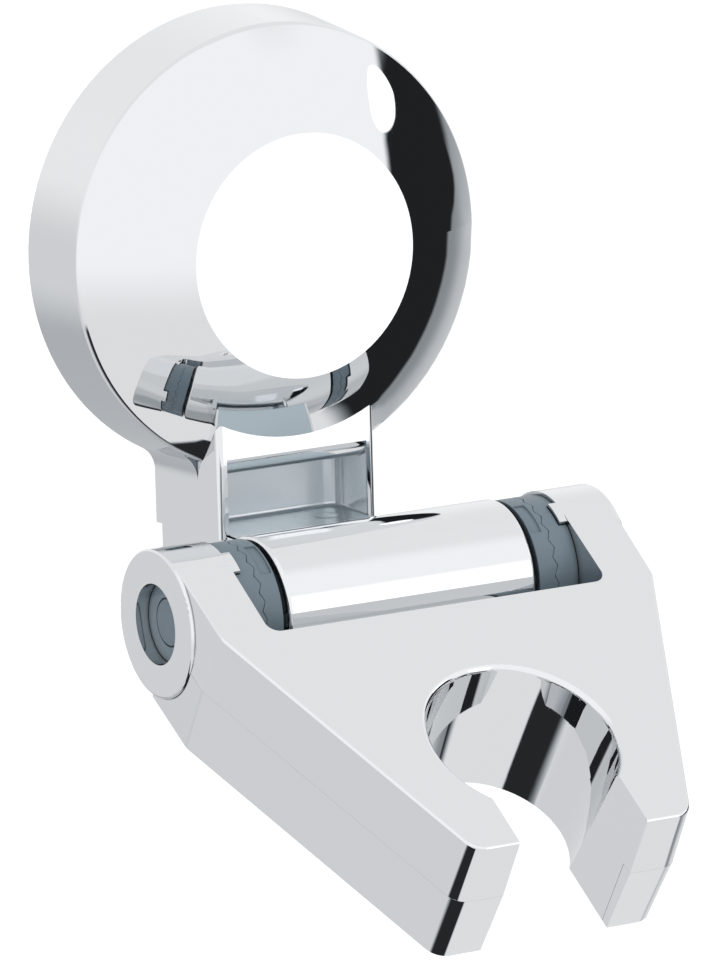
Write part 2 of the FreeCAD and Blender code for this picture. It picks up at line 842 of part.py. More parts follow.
def arm_bottom_cover():
    body = new_body("arm_bottom_cover", arm=True)
    s = Sizes
    low = -s.boss_radius
    floor = low + s.shell_wall
    seam = s.seam_height

    tray = new_sketch(body, "tray", "XY_Plane", height=seam)
    draw_loop(tray, arm_outline(s.under_start))
    pad = prism(body, tray, seam - low, taper=s.shell_draft)
    pad.Reversed = True
    DOC.recompute()
    round_corners(body, low, seam)

    hollow = new_sketch(body, "hollow", "XY_Plane", height=floor)
    draw_loop(hollow, hollow_outline())
    prism(body, hollow, seam - floor + BEYOND, cut=True)

    turrets = new_sketch(body, "turrets", "XY_Plane", height=low + s.shell_wall / 2)
    for x, y in screw_places():
        draw_circle(turrets, x, y, s.turret_radius)
    prism(body, turrets, post_foot() - low - s.shell_wall / 2)
    clearance = new_sketch(body, "clearance_holes", "XY_Plane", height=low - BEYOND)
    for x, y in screw_places():
        draw_circle(clearance, x, y, s.shank_radius + s.hole_gap)
    prism(body, clearance, s.turret_height + 2 * BEYOND, cut=True)
    heads = new_sketch(body, "head_holes", "XY_Plane", height=low - BEYOND)
    for x, y in screw_places():
        draw_circle(heads, x, y, s.head_radius + s.hole_gap)
    prism(body, heads, s.head_sink + BEYOND, cut=True)

    cut_cutout(body)
    bosses = new_sketch(body, "boss_seats", "XY_Plane")
    draw_loop(bosses, mirrored([
        (s.boss_half_span + BEYOND, 0),
        (s.boss_half_span + BEYOND, s.boss_radius + s.seam_gap),
    ]))
    turned(body, bosses, "H_Axis", cut=True)
    tower = socket_sketch(body, "tower_seat")
    draw_loop(tower, socket_profile(s.shell_wall + s.seam_gap, low - BEYOND, seam + BEYOND))
    turned(body, tower, "V_Axis", cut=True)
    walls = new_sketch(body, "wall_seats", "XY_Plane", height=low - BEYOND)
    width = s.slot_half_width + s.shell_wall + s.seam_gap
    draw_loop(walls, mirrored([(width, -s.socket_reach), (width, s.tip_skin - s.seam_gap - s.tip_reach)]))
    prism(body, walls, seam - low + 2 * BEYOND, cut=True)
    slot = new_sketch(body, "tip_slot", "XY_Plane", height=low - BEYOND)
    draw_loop(slot, mirrored([
        (s.slot_half_width, -s.socket_reach),
        (s.slot_half_width, -s.tip_reach - BEYOND * 2),
    ]))
    prism(body, slot, seam - low + 2 * BEYOND, cut=True)
    return body


def bottom_cover_screw(name, place):
    body = new_body(name, arm=True)
    s = Sizes
    under_head = s.head_sink - s.boss_radius
    screw = new_sketch(body, name + "_profile", "XZ_Plane", height=-place[1], across=place[0])
    crown = s.head_crown
    tip = under_head + s.shank_length
    draw_loop(screw, [
        (0, under_head - s.head_height),
        (s.head_radius - crown, under_head - s.head_height, crown),
        (s.head_radius, under_head - s.head_height + crown),
        (s.head_radius, under_head),
        (s.pilot_radius, under_head),
        (s.pilot_radius, tip - s.pilot_radius),
        (0, tip),
    ])
    turned(body, screw, "V_Axis")
    return body


# Hinge


def tooth_plane():
    """Distance of the teeth's middle plane from the middle of the barrel."""
    s = Sizes
    return s.barrel_half_length + s.lift + s.inner_ring_width


def cut_teeth(body, side, outwards, tilt):
    """Cuts radial teeth whose flanks all pass through one point on the axis.

    side is 1 on the right and -1 on the left. outwards is 1 where the teeth point
    away from the barrel and -1 where they point back to it.
    """
    s = Sizes
    rise = s.tooth_height / 2 / ring_radius()
    spread = tangent(180 / s.tooth_count)
    plane = side * tooth_plane()
    sections = []
    for name, reach in (("near_gash", s.axle_radius / 2), ("far_gash", 2 * ring_radius())):
        gash = new_sketch(body, name, "XZ_Plane", height=reach, tilt=tilt)
        deep = plane - outwards * side * rise * reach
        clear = plane + outwards * side * rise * reach * GASH_RATIO
        half = reach * spread * (1 + GASH_RATIO) / 2
        draw_loop(gash, [(deep, 0), (clear, half), (clear, -half)])
        sections.append(gash)
    cutter = body.newObject("PartDesign::SubtractiveLoft", "gash")
    cutter.Profile = sections[0]
    cutter.Sections = [sections[1]]
    cutter.Ruled = True
    DOC.recompute()
    around(body, cutter, None, s.tooth_count)


def ring_radius():
    return Sizes.barrel_radius - Sizes.ring_inset


def outer_ratchet_hub(name, side):
    body = new_body(name, arm=True)
    s = Sizes
    plug = s.boss_half_span - s.plug_recess
    profile = new_sketch(body, name + "_profile", "XZ_Plane")
    draw_loop(profile, [
        (side * (tooth_plane() - s.tooth_height / 2), s.axle_radius),
        (side * (tooth_plane() - s.tooth_height / 2), ring_radius()),
        (side * s.cutout_half_width, ring_radius()),
        (side * s.cutout_half_width, s.boss_bore_radius),
        (side * plug, s.boss_bore_radius),
        (side * plug, s.axle_radius),
    ])
    turned(body, profile, "H_Axis")
    cut_teeth(body, side, -1, measure(0))
    # Notches for the dogs of the ear
    depth = s.dog_length + s.seam_gap
    start = s.cutout_half_width - depth if side > 0 else -s.cutout_half_width
    notch = new_sketch(body, name + "_notch", "YZ_Plane", height=start)
    half = s.dog_width / 2 + s.seam_gap
    foot = s.boss_radius - s.dog_height - s.seam_gap
    draw_loop(notch, mirrored([(half, foot), (half, s.boss_radius + BEYOND)]))
    around(body, prism(body, notch, depth, cut=True), notch, s.dog_count)
    return body


def inner_ratchet_hub(name, side):
    body = new_body(name, hinge=True)
    s = Sizes
    sleeve_end = s.barrel_half_length - s.sleeve_length
    ring_start = s.barrel_half_length + s.lift
    bore = s.axle_radius + s.running_gap
    sleeve = s.barrel_bore_radius - s.sliding_gap
    pocket = s.spring_coil_radius + s.spring_wire_half + s.spring_gap
    face = tooth_plane() + s.tooth_height / 2 - s.mesh_gap
    profile = new_sketch(body, name + "_profile", "XZ_Plane")
    draw_loop(profile, [
        (side * sleeve_end, pocket),
        (side * sleeve_end, sleeve),
        (side * ring_start, sleeve),
        (side * ring_start, ring_radius()),
        (side * face, ring_radius()),
        (side * face, bore),
        (side * (sleeve_end + s.spring_seat_depth), bore),
        (side * (sleeve_end + s.spring_seat_depth), pocket),
    ])
    turned(body, profile, "H_Axis")
    cut_teeth(body, side, 1, s.rest_pitch + 180 / s.tooth_count)

    key = new_sketch(body, name + "_key", "YZ_Plane", height=sleeve_end if side > 0 else -ring_start)
    half = s.key_width / 2
    draw_loop(key, mirrored([
        (half, (sleeve + pocket) / 2),
        (half, s.barrel_bore_radius + s.key_height - s.sliding_gap),
    ]))
    around(body, prism(body, key, ring_start - sleeve_end), key, s.key_count)

    # Shallow recess in the ring's rim, above and in front
    recess = new_sketch(body, name + "_recess", "XZ_Plane", tilt=90 - s.recess_centre)
    start = ring_start + s.recess_inset
    draw_loop(recess, [
        (side * start, ring_radius() - s.recess_depth),
        (side * (start + s.recess_width), ring_radius() - s.recess_depth),
        (side * (start + s.recess_width), ring_radius() + BEYOND),
        (side * start, ring_radius() + BEYOND),
    ])
    turned(body, recess, "H_Axis", cut=True, angle=s.recess_sweep)
    return body


def hinge_axle():
    body = new_body("hinge_axle", arm=True)
    s = Sizes
    end = s.boss_half_span - s.plug_recess
    rod = new_sketch(body, "rod", "XZ_Plane")
    draw_loop(rod, mirrored([
        (end, 0),
        (end, s.axle_radius - s.axle_chamfer),
        (end - s.axle_chamfer, s.axle_radius),
    ]))
    turned(body, rod, "H_Axis")
    return body


def detent_spring(name, side):
    body = new_body(name, hinge=True)
    s = Sizes
    start = s.barrel_web / 2
    end = s.barrel_half_length - s.sleeve_length + s.spring_seat_depth
    wire = new_sketch(body, name + "_wire", "XZ_Plane")
    half = s.spring_wire_half
    draw_loop(wire, [
        (side * start - half, s.spring_coil_radius - half),
        (side * start + half, s.spring_coil_radius - half),
        (side * start + half, s.spring_coil_radius + half),
        (side * start - half, s.spring_coil_radius + half),
    ])
    coil = body.newObject("PartDesign::AdditiveHelix", name + "_coil")
    coil.Profile = wire
    coil.ReferenceAxis = (wire, ["H_Axis"])
    coil.Mode = "height-turns-angle"
    bind(coil, "Height", end - start)
    bind(coil, "Turns", s.spring_turns)
    coil.Reversed = side < 0
    DOC.recompute()
    # Ground ends, flat on the web and on the hub
    past = s.spring_wire_half + BEYOND
    places = (start - past, end) if side > 0 else (-start, -end - past)
    for label, place in zip(("web_end", "hub_end"), places):
        grind = new_sketch(body, f"{name}_{label}", "YZ_Plane", height=place)
        draw_circle(grind, 0, 0, s.spring_coil_radius + past)
        prism(body, grind, past, cut=True)
    return body


def check(bodies):
    """Stops if a feature failed or a piece isn't one valid solid."""
    failed = [item.Name for item in DOC.Objects if {"Invalid", "Error"} & set(item.State)]
    for body in bodies:
        if body.Shape.isNull() or not body.Shape.isValid() or len(body.Shape.Solids) != 1:
            failed.append(body.Label)
    if failed:
        raise RuntimeError("not built: " + ", ".join(failed))


def main():
    fill_sheet()
    bodies = [
        rosette_cover(),
        bracket_body(),
        arm_top_shell(),
        arm_bottom_cover(),
        hinge_axle(),
    ]
    for word, side, place in zip(("left", "right"), (-1, 1), screw_places()[::-1]):
        bodies.append(outer_ratchet_hub(f"outer_ratchet_hub_{word}", side))
        bodies.append(inner_ratchet_hub(f"inner_ratchet_hub_{word}", side))
        bodies.append(detent_spring(f"detent_spring_{word}", side))
        bodies.append(bottom_cover_screw(f"bottom_cover_screw_{word}", place))
    DOC.recompute()
    check(bodies)
    os.makedirs("parts", exist_ok=True)
    for body in bodies:
        body.Shape.exportStep(f"parts/{body.Label}.step")


main()
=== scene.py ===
"""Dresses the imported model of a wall-mounted hand shower holder for rendering."""

import json
import math

import bpy
from mathutils import Matrix, Vector

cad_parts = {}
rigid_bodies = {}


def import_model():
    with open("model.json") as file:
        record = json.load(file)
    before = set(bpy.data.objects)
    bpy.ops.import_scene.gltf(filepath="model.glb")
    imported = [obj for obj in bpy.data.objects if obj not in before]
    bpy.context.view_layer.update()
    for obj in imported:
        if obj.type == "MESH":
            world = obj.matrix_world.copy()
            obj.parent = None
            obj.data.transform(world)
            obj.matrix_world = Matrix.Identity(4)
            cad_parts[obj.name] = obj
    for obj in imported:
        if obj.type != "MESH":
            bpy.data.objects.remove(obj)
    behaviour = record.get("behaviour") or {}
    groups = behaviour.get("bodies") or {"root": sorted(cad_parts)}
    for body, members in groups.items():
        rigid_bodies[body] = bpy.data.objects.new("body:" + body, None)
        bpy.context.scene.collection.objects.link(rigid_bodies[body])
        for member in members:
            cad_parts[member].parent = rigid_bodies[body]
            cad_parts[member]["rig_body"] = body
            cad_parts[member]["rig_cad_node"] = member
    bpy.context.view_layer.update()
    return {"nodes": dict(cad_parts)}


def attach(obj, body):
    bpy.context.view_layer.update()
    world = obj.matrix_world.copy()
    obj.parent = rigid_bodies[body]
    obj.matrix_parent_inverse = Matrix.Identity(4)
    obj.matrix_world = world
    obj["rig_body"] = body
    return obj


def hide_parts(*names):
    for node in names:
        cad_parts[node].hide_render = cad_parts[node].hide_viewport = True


bl_info = {
    "name": "Hand Shower Holder",
    "version": (1, 0, 0),
    "blender": (4, 5, 0),
    "location": "View3D > Sidebar > Shower Holder",
    "description": "Models and finishes a chrome hand shower holder on its packed frame",
    "category": "Object",
}

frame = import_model()
MM = 0.001

NEAR = 0.01 * MM  # slack when faces and edges are picked by their place
WELD = 0.002 * MM  # corners closer than this are joined
FLAT = math.radians(0.2)  # facets that turn by less than this are joined
# Share of a face's normal along an axis above which the face looks that way
FACING = 0.5
UPWARD = 0.7
SQUARE = 0.999

CHROME_NODES = ("rosette_cover", "bracket_body", "arm_top_shell", "arm_bottom_cover")
HUB_NODES = (
    "outer_ratchet_hub_left",
    "outer_ratchet_hub_right",
    "inner_ratchet_hub_left",
    "inner_ratchet_hub_right",
)
AXLE_NODES = ("hinge_axle",)
STEEL_NODES = (
    "detent_spring_left",
    "detent_spring_right",
    "bottom_cover_screw_left",
    "bottom_cover_screw_right",
)


# Sizes and colours


class HolderCamera(bpy.types.PropertyGroup):
    """Where the camera stands and looks."""

    azimuth: bpy.props.FloatProperty(
        name="Azimuth", description="Camera's turn to the right of the front",
        default=math.radians(-29.38), subtype="ANGLE")
    elevation: bpy.props.FloatProperty(
        name="Elevation", description="Camera's height above the horizon",
        default=math.radians(12.27), subtype="ANGLE")
    roll: bpy.props.FloatProperty(
        name="Roll", description="Camera's tilt about its own axis",
        default=math.radians(-1.59), subtype="ANGLE")
    distance: bpy.props.FloatProperty(
        name="Distance", description="Camera to target", default=1.0, unit="LENGTH")
    lens: bpy.props.FloatProperty(
        name="Lens", description="Focal length in millimetres", default=333.91)
    target: bpy.props.FloatVectorProperty(
        name="Target", description="Point in the middle of the picture",
        default=(0.00414, -0.02, -0.02555), subtype="TRANSLATION")


class HolderStage(bpy.types.PropertyGroup):
    """The tent's light and the floor."""

    level: bpy.props.FloatProperty(
        name="Level", description="Strength of the tent's light", default=1.28)
    floor_drop: bpy.props.FloatProperty(
        name="Floor drop", description="Height of the cover's centre above the floor",
        default=0.22, unit="LENGTH")
    floor_side: bpy.props.FloatProperty(
        name="Floor side", description="Side of the square floor", default=12.0, unit="LENGTH")


class HolderNeck(bpy.types.PropertyGroup):
    """The pocket between the cover's stem and the hinge."""

    half_width: bpy.props.FloatProperty(
        name="Half width", description="Half the pocket's width",
        default=8.95 * MM, unit="LENGTH")
    back: bpy.props.FloatProperty(
        name="Back", description="Pocket's back in front of the wall",
        default=5.7 * MM, unit="LENGTH")
    front: bpy.props.FloatProperty(
        name="Front", description="Pocket's mouth in front of the wall",
        default=12.9 * MM, unit="LENGTH")
    top: bpy.props.FloatProperty(
        name="Top", description="Pocket's top below the cover's centre, behind the rolled lip",
        default=22.6 * MM, unit="LENGTH")
    shelf: bpy.props.FloatProperty(
        name="Shelf", description="Pocket's floor below the cover's centre",
        default=31.5 * MM, unit="LENGTH")
    reach: bpy.props.FloatProperty(
        name="Reach", description="Front of the pocket's floor, under the barrel's back",
        default=23.6 * MM, unit="LENGTH")
    sheet: bpy.props.FloatProperty(
        name="Sheet", description="Thickness of the pocket's lining",
        default=0.05 * MM, unit="LENGTH")
    cove: bpy.props.FloatProperty(
        name="Cove", description="Radius between the pocket's back and its floor",
        default=0.5 * MM, unit="LENGTH")
    corner: bpy.props.FloatProperty(
        name="Corner", description="Radius between the pocket's back and its sides",
        default=1.8 * MM, unit="LENGTH")
    overrun: bpy.props.FloatProperty(
        name="Overrun", description="How far the pocket's cutter runs out of its mouth",
        default=1.0 * MM, unit="LENGTH")
    mark: bpy.props.FloatVectorProperty(
        name="Ejector mark", description="Middle of the ejector mark on the pocket's floor",
        default=(5.2 * MM, -10.3 * MM), size=2, subtype="XYZ")
    mark_radius: bpy.props.FloatProperty(
        name="Mark radius", description="Radius of the ejector mark",
        default=1.5 * MM, unit="LENGTH")
    mark_height: bpy.props.FloatProperty(
        name="Mark height", description="Height of the ejector mark's disc, half of it sunk",
        default=0.08 * MM, unit="LENGTH")
    mark_rim: bpy.props.FloatProperty(
        name="Mark rim", description="Breadth of the rim round the ejector mark",
        default=0.12 * MM, unit="LENGTH")
    mark_dish: bpy.props.FloatProperty(
        name="Mark dish", description="Depth of the ejector mark's middle below its rim",
        default=0.03 * MM, unit="LENGTH")


class HolderBarrel(bpy.types.PropertyGroup):
    """The hinge barrel."""

    radius: bpy.props.FloatProperty(
        name="Radius", description="Outer radius of the hinge barrel",
        default=8.22 * MM, unit="LENGTH")
    half_length: bpy.props.FloatProperty(
        name="Half length", description="Half the length of the hinge barrel",
        default=15.74 * MM, unit="LENGTH")
    bore: bpy.props.FloatProperty(
        name="Bore", description="Radius of the barrel's bores, wide enough for the hubs' keys",
        default=7.15 * MM, unit="LENGTH")
    bore_depth: bpy.props.FloatProperty(
        name="Bore depth", description="Depth of each bore, down to the barrel's web",
        default=14.2 * MM, unit="LENGTH")
    rim: bpy.props.FloatProperty(
        name="Rim", description="Rounding of the barrel's ends",
        default=0.5 * MM, unit="LENGTH")
    kept: bpy.props.FloatProperty(
        name="Kept", description="Length of the packed barrel left uncut at each end",
        default=2.0 * MM, unit="LENGTH")


class HolderEdges(bpy.types.PropertyGroup):
    """Broken and rounded edges, and where the hinge lies."""

    hinge: bpy.props.FloatVectorProperty(
        name="Hinge", description="Point on the hinge axis",
        default=(0.0, -30.6 * MM, -35.7 * MM), subtype="TRANSLATION")
    pitch: bpy.props.FloatProperty(
        name="Pitch", description="Arm's fall in front of the hinge",
        default=math.radians(33.0), subtype="ANGLE")
    seam: bpy.props.FloatProperty(
        name="Seam", description="Height of the shells' seam over the hinge axis, in the arm",
        default=0.5 * MM, unit="LENGTH")
    seam_gap: bpy.props.FloatProperty(
        name="Seam gap", description="Gap between the two shells at the seam",
        default=0.05 * MM, unit="LENGTH")
    groove: bpy.props.FloatProperty(
        name="Groove", description="Breadth of the broken edges along the seam",
        default=0.14 * MM, unit="LENGTH")
    hub: bpy.props.FloatProperty(
        name="Hub edge", description="Rounding of the ratchet hubs' edges",
        default=0.12 * MM, unit="LENGTH")
    sharp: bpy.props.FloatProperty(
        name="Sharp from", description="Edges that turn by more than this are rounded",
        default=math.radians(28.0), subtype="ANGLE")


class HolderColours(bpy.types.PropertyGroup):
    """Colours of the finishes."""

    chrome: bpy.props.FloatVectorProperty(
        name="Chrome", description="Tint of the plating",
        default=(0.72, 0.735, 0.75), subtype="COLOR")
    # Painted shade: the pocket's lining takes a duller, bluer colour than the chrome, for the dim
    # light deep in the pocket
    pocket_shade: bpy.props.FloatVectorProperty(
        name="Recess", description="Thinner plating inside the neck's pocket",
        default=(0.74, 0.78, 0.81), size=3, min=0.0, max=1.0, subtype="COLOR")
    # Painted shade: the pocket's floor takes a darker blue-grey, for the shade that falls there
    shelf: bpy.props.FloatVectorProperty(
        name="Shelf", description="Plating on the floor of the neck's pocket",
        default=(0.5, 0.58, 0.62), size=3, min=0.0, max=1.0, subtype="COLOR")
    slate: bpy.props.FloatVectorProperty(
        name="Slate plastic", description="Colour of the ratchet hubs",
        default=(0.135, 0.18, 0.215), subtype="COLOR")
    axle: bpy.props.FloatVectorProperty(
        name="Axle plastic", description="Colour of the hinge axle",
        default=(0.115, 0.155, 0.19), subtype="COLOR")
    steel: bpy.props.FloatVectorProperty(
        name="Steel", description="Colour of the springs and screws",
        default=(0.6, 0.6, 0.6), subtype="COLOR")


# Node helpers


def new_material(name):
    """A material with nodes, and its tree."""
    material = bpy.data.materials.new(name)
    material.use_nodes = True
    return material, material.node_tree


def mesh_place(tree):
    """Position on the mesh, for procedural textures."""
    return add_node(tree, "ShaderNodeTexCoord").outputs["Object"]


def feed(tree, node, inputs):
    """Sets a node's sockets. A socket's value may be another node's output."""
    for key, value in inputs.items():
        if isinstance(value, bpy.types.NodeSocket):
            tree.links.new(value, node.inputs[key])
        else:
            node.inputs[key].default_value = value


def add_node(tree, kind, inputs=None, **settings):
    """Adds a node with its settings and sockets."""
    node = tree.nodes.new(kind)
    for key, value in settings.items():
        setattr(node, key, value)
    feed(tree, node, inputs or {})
    return node


def compute(tree, operation, *values):
    """A Math node's result."""
    node = add_node(tree, "ShaderNodeMath", dict(enumerate(values)), operation=operation)
    return node.outputs[0]


def step_up(tree, value, start, end):
    """Rises smoothly from 0 at the start to 1 at the end, which may also be the lower one."""
    node = add_node(tree, "ShaderNodeMapRange",
                    {"Value": value, "From Min": start, "From Max": end},
                    interpolation_type="SMOOTHSTEP")
    return node.outputs["Result"]


# Finishes

# Painted shade: widest groove that each finish darkens by ambient occlusion, and the share of its
# colour that is left there
CHROME_PAINTED_SHADE = (0.35 * MM, 0.2)
SLATE_PAINTED_SHADE = (1.1 * MM, 0.15)
# Spread of the slate plastic's tone about its colour
SLATE_DARK, SLATE_LIGHT = 0.88, 1.12
# Glow that brings the floor up to white for the camera
FLOOR_GLOW = 0.14


def painted_groove_shade(tree, colour, reach, dark):
    """The colour with painted shade, down to the dark share of it in grooves and corners narrower
    than the reach.
    """
    open_share = add_node(tree, "ShaderNodeAmbientOcclusion", {"Distance": reach}, samples=8)
    factor = add_node(tree, "ShaderNodeMapRange",
                      {"Value": open_share.outputs["AO"], "From Min": 0.3, "From Max": 0.85,
                       "To Min": dark, "To Max": 1.0})
    shade = add_node(tree, "ShaderNodeVectorMath",
                     {0: colour, "Scale": factor.outputs["Result"]}, operation="SCALE")
    return shade.outputs["Vector"]


def chrome_finish(name, colour, metal=1.0, low=0.01, high=0.035):
    """Bright plating with a polished moulding's faint waves; low and high bound its roughness."""
    material, tree = new_material(name)
    place = mesh_place(tree)
    wave = add_node(tree, "ShaderNodeTexNoise", {"Vector": place, "Scale": 60.0, "Detail": 1.0})
    smear = add_node(tree, "ShaderNodeTexNoise", {"Vector": place, "Scale": 220.0, "Detail": 4.0})
    bump = add_node(tree, "ShaderNodeBump",
                    {"Strength": 0.02, "Distance": 0.0004, "Height": wave.outputs["Fac"]})
    rough = add_node(tree, "ShaderNodeMapRange",
                     {"Value": smear.outputs["Fac"], "To Min": low, "To Max": high})
    # Painted shade: the plating darkens in narrow grooves by ambient occlusion
    feed(tree, tree.nodes["Principled BSDF"],
         {"Base Color": painted_groove_shade(tree, colour, *CHROME_PAINTED_SHADE), "Metallic": metal,
          "Roughness": rough.outputs["Result"], "Normal": bump.outputs["Normal"]})
    return material


def slate_finish(name, colour):
    """Satin moulded plastic, blue-grey, with a fine grain."""
    material, tree = new_material(name)
    place = mesh_place(tree)
    grain = add_node(tree, "ShaderNodeTexNoise", {"Vector": place, "Scale": 2600.0, "Detail": 3.0})
    cloud = add_node(tree, "ShaderNodeTexNoise", {"Vector": place, "Scale": 150.0, "Detail": 2.0})
    dark = tuple(value * SLATE_DARK for value in colour)
    light = tuple(value * SLATE_LIGHT for value in colour)
    tone = add_node(tree, "ShaderNodeMix",
                    {"Factor": cloud.outputs["Fac"], "A": (*dark, 1.0), "B": (*light, 1.0)},
                    data_type="RGBA")
    bump = add_node(tree, "ShaderNodeBump",
                    {"Strength": 0.25, "Distance": 0.00005, "Height": grain.outputs["Fac"]})
    # Painted shade: the plastic darkens in narrow grooves by ambient occlusion
    feed(tree, tree.nodes["Principled BSDF"],
         {"Base Color": painted_groove_shade(tree, tone.outputs["Result"], *SLATE_PAINTED_SHADE),
          "Roughness": 0.42, "Normal": bump.outputs["Normal"]})
    return material


def steel_finish(name, colour):
    """Drawn and turned steel with a fine brushing."""
    material, tree = new_material(name)
    brush = add_node(tree, "ShaderNodeTexNoise",
                     {"Vector": mesh_place(tree), "Scale": 1500.0, "Detail": 3.0})
    rough = add_node(tree, "ShaderNodeMapRange",
                     {"Value": brush.outputs["Fac"], "To Min": 0.22, "To Max": 0.38})
    feed(tree, tree.nodes["Principled BSDF"],
         {"Base Color": (*colour, 1.0), "Metallic": 1.0, "Roughness": rough.outputs["Result"]})
    return material


def floor_finish():
    """Pale matt board, white to the camera. Reflections and views from below pass through it."""
    material, tree = new_material("pale_board")
    tree.nodes.remove(tree.nodes["Principled BSDF"])
    rays = add_node(tree, "ShaderNodeLightPath").outputs
    board = add_node(tree, "ShaderNodeBsdfDiffuse", {"Color": (0.9, 0.9, 0.9, 1.0)})
    lift = add_node(tree, "ShaderNodeEmission",
                    {"Strength": compute(tree, "MULTIPLY", rays["Is Camera Ray"], FLOOR_GLOW)})
    lit = add_node(tree, "ShaderNodeAddShader", {0: board.outputs[0], 1: lift.outputs[0]})
    clear = add_node(tree, "ShaderNodeBsdfTransparent")
    below = add_node(tree, "ShaderNodeNewGeometry").outputs["Backfacing"]
    hidden = compute(tree, "MAXIMUM", rays["Is Glossy Ray"], below)
    both = add_node(tree, "ShaderNodeMixShader",
                    {0: hidden, 1: lit.outputs[0], 2: clear.outputs[0]})
    feed(tree, tree.nodes["Material Output"], {"Surface": both.outputs[0]})
    return material


# Studio

# Brightness of the tent's parts, before the stage's level
FRONT, ROOF, TABLE = 0.93, 0.81, 0.755
WALL_LOW, WALL_MIDDLE, WALL_HIGH, WALL_CORNER = 0.65, 0.84, 0.80, 0.44
SOFT_BOX, GREY_WALL, BLACK_FLAG, BLACK_GAP, LAMP = 1.25, 0.26, 0.015, 0.02, 1.6
# Tint of the dim parts, and of the bright ones
COOL, WHITE = (0.93, 1.0, 1.07, 1.0), (1.0, 1.0, 1.0, 1.0)

# Where one part goes over into the next, in degrees across and up: from, to
ROOF_ACROSS, ROOF_HEIGHT = (30.0, 62.0), (44.0, 58.0)
TABLE_HEIGHT = (-6.0, -28.0)
WALL_ACROSS = (92.0, 112.0)
WALL_MIDDLE_HEIGHT = (-4.0, 16.0)
WALL_HIGH_HEIGHT = (24.0, 50.0)
CORNER_ACROSS, CORNER_HEIGHT = (132.0, 155.0), (-14.0, -27.0)

# Bands in degrees across and up: from, to, and the soft widths below and above
BOX_ACROSS, BOX_HEIGHT = (21.0, 39.0, 3.0, 3.0), (-26.0, 18.0, 3.0, 6.0)
GREY_ACROSS, GREY_HEIGHT = (88.0, 92.0, 1.0, 26.0), (-46.0, 20.0, 4.0, 8.0)

# The flag in degrees. Its far edge steps in low down. Its top slopes up to the right, to a limit.
FLAG_NEAR = (60.0, 62.5)
FLAG_FAR_HIGH, FLAG_FAR_LOW = 96.0, 89.0
FLAG_FAR_STEP = (-2.0, -12.0)
FLAG_FAR_SOFT = 1.5
FLAG_FOOT = (-52.0, -46.0)
FLAG_SLOPE, FLAG_OFFSET = 0.65, -26.3
FLAG_TOP_SOFT = 2.0
FLAG_LIMIT = (34.0, 24.0)

# The gap on the table as bands, in heights above it to the right and to the front, and the
# downward share of the direction over which it comes in
GAP_ACROSS, GAP_FRONT = (-1.5, 0.12, 0.25, 0.1), (-0.1, 0.31, 0.3, 0.02)
GAP_FALL = (0.0, -0.1)
SHALLOWEST = 0.001  # keeps the table's distance finite near the horizon

# The lamp: its middle, half its length and half its breadth in degrees, its lean as cosine and
# sine, and its soft rim as a share of its size squared
LAMP_ACROSS, LAMP_HEIGHT = 70.0, 21.0
LAMP_LENGTH, LAMP_BREADTH = 11.0, 5.0
LAMP_LEAN = (0.87, 0.5)
LAMP_RIM = (1.15, 0.9)


def band(tree, value, low, high, soft_low, soft_high):
    """1 between low and high, fading out over the soft widths outside them."""
    rise = step_up(tree, value, low - soft_low, low)
    fall = step_up(tree, value, high + soft_high, high)
    return compute(tree, "MULTIPLY", rise, fall)


def towards(tree, light, target, share):
    """Moves a brightness towards the target by a share of the way."""
    gap = compute(tree, "SUBTRACT", target, light)
    return compute(tree, "MULTIPLY_ADD", gap, share, light)


